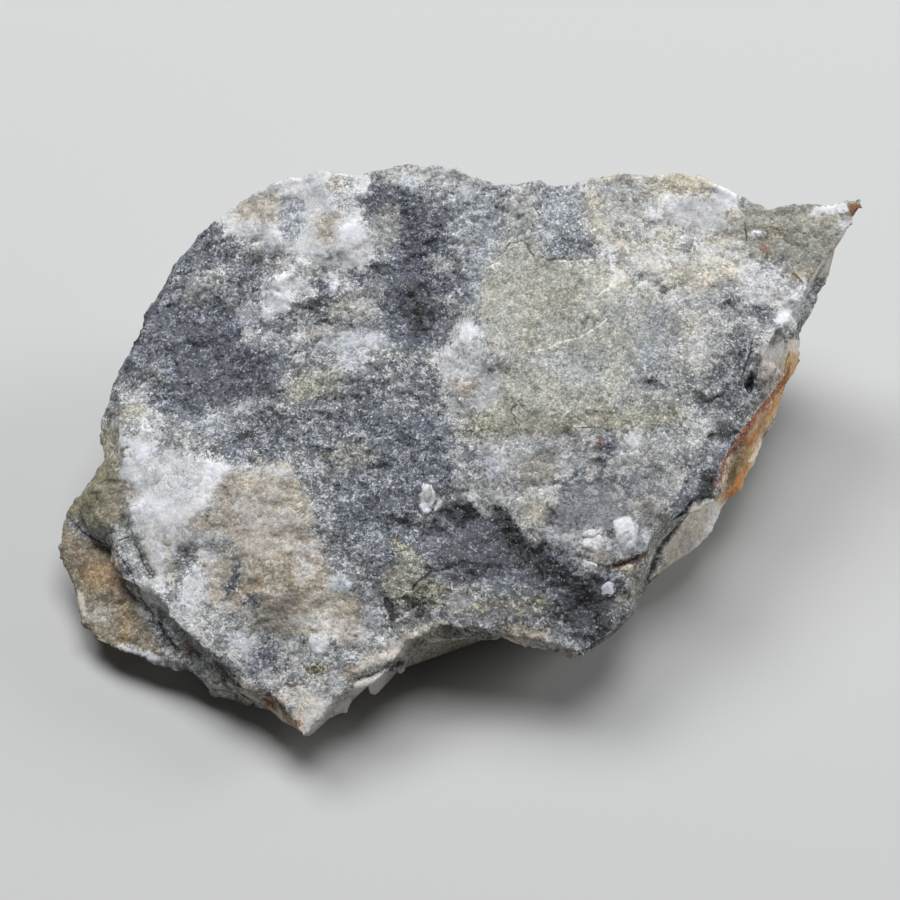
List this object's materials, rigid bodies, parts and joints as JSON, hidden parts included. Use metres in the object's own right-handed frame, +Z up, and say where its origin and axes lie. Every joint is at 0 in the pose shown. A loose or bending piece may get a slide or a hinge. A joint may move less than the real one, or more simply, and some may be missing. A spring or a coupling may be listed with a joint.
{
  "type": "acanthite specimen",
  "caption": "Rough broken lump of silver ore: dark acanthite through white quartz, with a broad tilted face, a clay seam, a rusty rim and milky quartz teeth, resting on a small flat spot.",
  "frame": {"origin": "middle of the lump's plan box, on the surface that it rests on", "axes": "+Z up, +X along the long side towards the thin tip, +Y towards the high back edge; the broad broken face tips towards -Y"},
  "size_m": [0.0814, 0.059, 0.0282],
  "materials": {
    "ore": "rough broken stone, sugary quartz grain with dark sparkling ore"
  },
  "bodies": {
    "root": {"ore_lump": "ore"}
  },
  "joints": []
}
